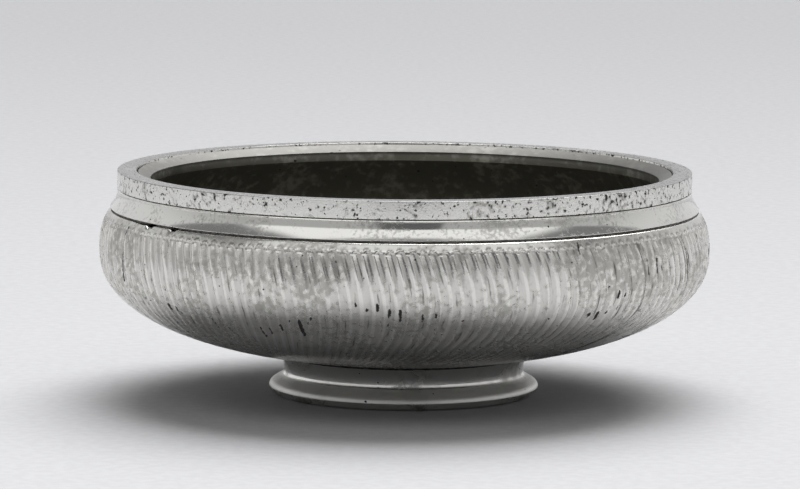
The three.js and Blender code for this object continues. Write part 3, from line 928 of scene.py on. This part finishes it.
rim_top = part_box("rim_ring")[1].z / MM
rebate = rim_radius - RIM_FLAT
rim_edge = (rim_radius - RIM_ROUNDING, rim_top - RIM_ROUNDING)
rim_section = [
    (RIM_INNER, rim_z),
    (rim_radius - GROOVE_DEPTH, rim_z),
    (rim_radius - RIM_SOFT_EDGE, rim_z + GROOVE_HEIGHT - GROOVE_SOFT_EDGE),
    (rim_radius, rim_z + GROOVE_HEIGHT),
    *arc(rim_edge, RIM_ROUNDING, RIM_ROUNDING, 0, math.pi / 2, RIM_ROUNDING_STEPS),
    (rebate + REBATE_EDGE, rim_top),
    (rebate + RIM_SOFT_EDGE, rim_top - RIM_SOFT_EDGE),
    (rebate, rim_top - REBATE_EDGE),
    (rebate, rim_top - REBATE_DEPTH),
    (RIM_INNER, rim_top - REBATE_DEPTH),
]
rim_material, tree, where = empty_material("pitted_rim_silver")
rim_place = add_node(tree, "ShaderNodeSeparateXYZ", {0: where})
clouds = noise(tree, where, *RIM_CLOUDS)
mottle = noise(tree, where, *RIM_MOTTLE)
grain = noise(tree, where, *RIM_GRAIN)
right_side = step_between(tree, rim_place.outputs["X"], *RIM_RIGHT_SIDE)
worn = add_parts(tree, mottle, (clouds, 0.6), (right_side, 0.05))
dull = step_between(tree, worn, *RIM_DULL_EDGE)
on_top = near_rim_top(tree, rim_place.outputs["Z"], *RIM_TOP_EDGE)
under_edge = near_rim_top(tree, rim_place.outputs["Z"], *RIM_UPPER_HALF)
rim_colour = mix_colours(tree, dull, RIM_BRIGHT, RIM_DULL)
rim_colour = mix_colours(tree, on_top, rim_colour, RIM_TOP)
rim_rough = rising(tree, dull, RIM_SMOOTH, RIM_ROUGHER)
pits = black_pits(tree, where, *RIM_PITS)
specked = add_parts(tree, mottle, (right_side, 0.04), (under_edge, 0.045))
specks = step_between(tree, specked, *SPECK_EDGE)
dark = calculate(tree, "MAXIMUM", pits, specks)
silver_shader(tree, rim_colour, rim_rough, dark, grain, RIM_RELIEF)
rim_rings = add_wobble(turned_rings(rim_section, RING_SIDES), RIM_WOBBLE, random)
rim = wrapped_piece("turned_rim", rim_rings, None, TURNED_CREASE, rim_material)
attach(rim, "root")
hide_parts("rim_ring")

# Liner: the smooth inner bowl, raised from sheet. Its sloping lip drops into the rim's step, and
# its flat floor rests on the casing. The inside has gone dark. The lip and the floor are written
# darker still, because they mirror the soft light.
LINER_WALL = 1.0
LINER_FLOOR_RADIUS = 18.0
LINER_FLOOR_RINGS = (1.5, 6, 12)
HOLLOW_GAP = 2.7
LINER_BELLY_DROP = 1.0
LINER_SHOULDER_POWER = 2
LINER_OUTSIDE_STEPS = (24, 12)
LINER_INSIDE_STEPS = (30, 16)
LIP_WIDTH = 3.35
LIP_STEP = 0.45
LIP_FALL = 1.65
LIP_GAP = 0.3
# Roundings of the lip: how far from its outer or inner edge, and how far below it
LIP_OUTER_ROUNDING = [(0, 0.15), (0.12, 0.04)]
LIP_INNER_ROUNDING = [(0.25, -0.1), (0.05, 0.05), (0, 0.35)]
LINER_WOBBLE = 0.04
LINER_DARK = (0.25, 0.245, 0.21, 1)
LINER_GREY = (0.50, 0.49, 0.44, 1)
LINER_DEEP = (0.06, 0.058, 0.052, 1)
LIP_SILVER = (0.045, 0.044, 0.041, 1)
LINER_CLOUDS = (12.0, 5.0)
LINER_MOTTLE = (2.2, 5.0)
LINER_BELOW_NECK = (0.052, 0.034)
LINER_LOW_INSIDE = (0.034, 0.026)
LINER_LIP_START = (0.0556, 0.0566)
LINER_GREY_EDGE = (0.88, 1.18)
LOW_INSIDE_STRENGTH = 0.85
LIP_STRENGTH = 0.9
LINER_SMOOTH = 0.2
LINER_ROUGHER = 0.3
LIP_ROUGHNESS = 0.5
LOW_INSIDE_ROUGHNESS = 0.62
LINER_PITS = (2.0, 0.5, 0.2)
LINER_RELIEF = 0.05


def liner_shoulder(widest, top, steps):
    """The liner's wall from its widest level in and up to its neck."""
    share = np.arange(1, steps + 1) / steps
    inward = (widest[0] - top[0]) * share**LINER_SHOULDER_POWER
    return np.column_stack([widest[0] - inward, widest[1] + (top[1] - widest[1]) * share])


def liner_skin(floor_z, widest, neck, steps):
    """One side of the liner's wall, from its floor to its neck."""
    dish = dish_curve(LINER_FLOOR_RADIUS, floor_z, *widest, steps[0])
    return np.vstack([dish, liner_shoulder(widest, neck, steps[1])])


lip_radius = rebate - LIP_GAP
mouth_radius = lip_radius - LIP_WIDTH
lip_z = rim_top - LIP_STEP
lip_inner_z = lip_z - LIP_FALL
liner_floor = inner_floor_z
liner_floor_top = liner_floor + LINER_WALL
liner_belly = (belly_radius - CASING_WALL - HOLLOW_GAP, belly_z - LINER_BELLY_DROP)
liner_inner_belly = (liner_belly[0] - LINER_WALL, liner_belly[1])
liner_neck = (mouth_radius + LINER_WALL, rim_z - LIP_GAP)
liner_inner_neck = (mouth_radius, liner_neck[1] + LINER_WALL / 2)
liner_inside = liner_skin(
    liner_floor_top, liner_inner_belly, liner_inner_neck, LINER_INSIDE_STEPS
)
lip_section = [
    (mouth_radius + LINER_WALL, rim_top - REBATE_DEPTH),
    (lip_radius, rim_top - REBATE_DEPTH),
    *[(lip_radius - inward, lip_z - down) for inward, down in LIP_OUTER_ROUNDING],
    *[(mouth_radius + outward, lip_inner_z - down) for outward, down in LIP_INNER_ROUNDING],
]
liner_section = np.vstack([
    [(radius, liner_floor) for radius in LINER_FLOOR_RINGS],
    liner_skin(liner_floor, liner_belly, liner_neck, LINER_OUTSIDE_STEPS),
    lip_section,
    liner_inside[::-1],
    [(radius, liner_floor_top) for radius in LINER_FLOOR_RINGS[::-1]],
])
liner_material, tree, where = empty_material("tarnished_liner_silver")
liner_height = add_node(tree, "ShaderNodeSeparateXYZ", {0: where}).outputs["Z"]
clouds = noise(tree, where, *LINER_CLOUDS)
mottle = noise(tree, where, *LINER_MOTTLE)
below_neck = step_between(tree, liner_height, *LINER_BELOW_NECK)
low_inside = step_between(tree, liner_height, *LINER_LOW_INSIDE)
on_lip = step_between(tree, liner_height, *LINER_LIP_START)
greyed = add_parts(tree, mottle, (clouds, 0.8), (below_neck, 0.16))
greyed = step_between(tree, greyed, *LINER_GREY_EDGE)
liner_colour = mix_colours(tree, greyed, LINER_DARK, LINER_GREY)
liner_colour = lay_over(tree, liner_colour, low_inside, LOW_INSIDE_STRENGTH, LINER_DEEP)
liner_colour = lay_over(tree, liner_colour, on_lip, LIP_STRENGTH, LIP_SILVER)
liner_rough = rising(tree, clouds, LINER_SMOOTH, LINER_ROUGHER)
liner_rough = at_least(tree, liner_rough, on_lip, LIP_ROUGHNESS)
liner_rough = at_least(tree, liner_rough, low_inside, LOW_INSIDE_ROUGHNESS)
pits = black_pits(tree, where, *LINER_PITS)
silver_shader(tree, liner_colour, liner_rough, pits, mottle, LINER_RELIEF)
liner_rings = add_wobble(turned_rings(liner_section, RING_SIDES), LINER_WOBBLE, random)
liner_ends = (liner_floor, liner_floor_top)
liner = wrapped_piece("raised_liner", liner_rings, liner_ends, TURNED_CREASE, liner_material)
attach(liner, "root")
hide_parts("liner_bowl")
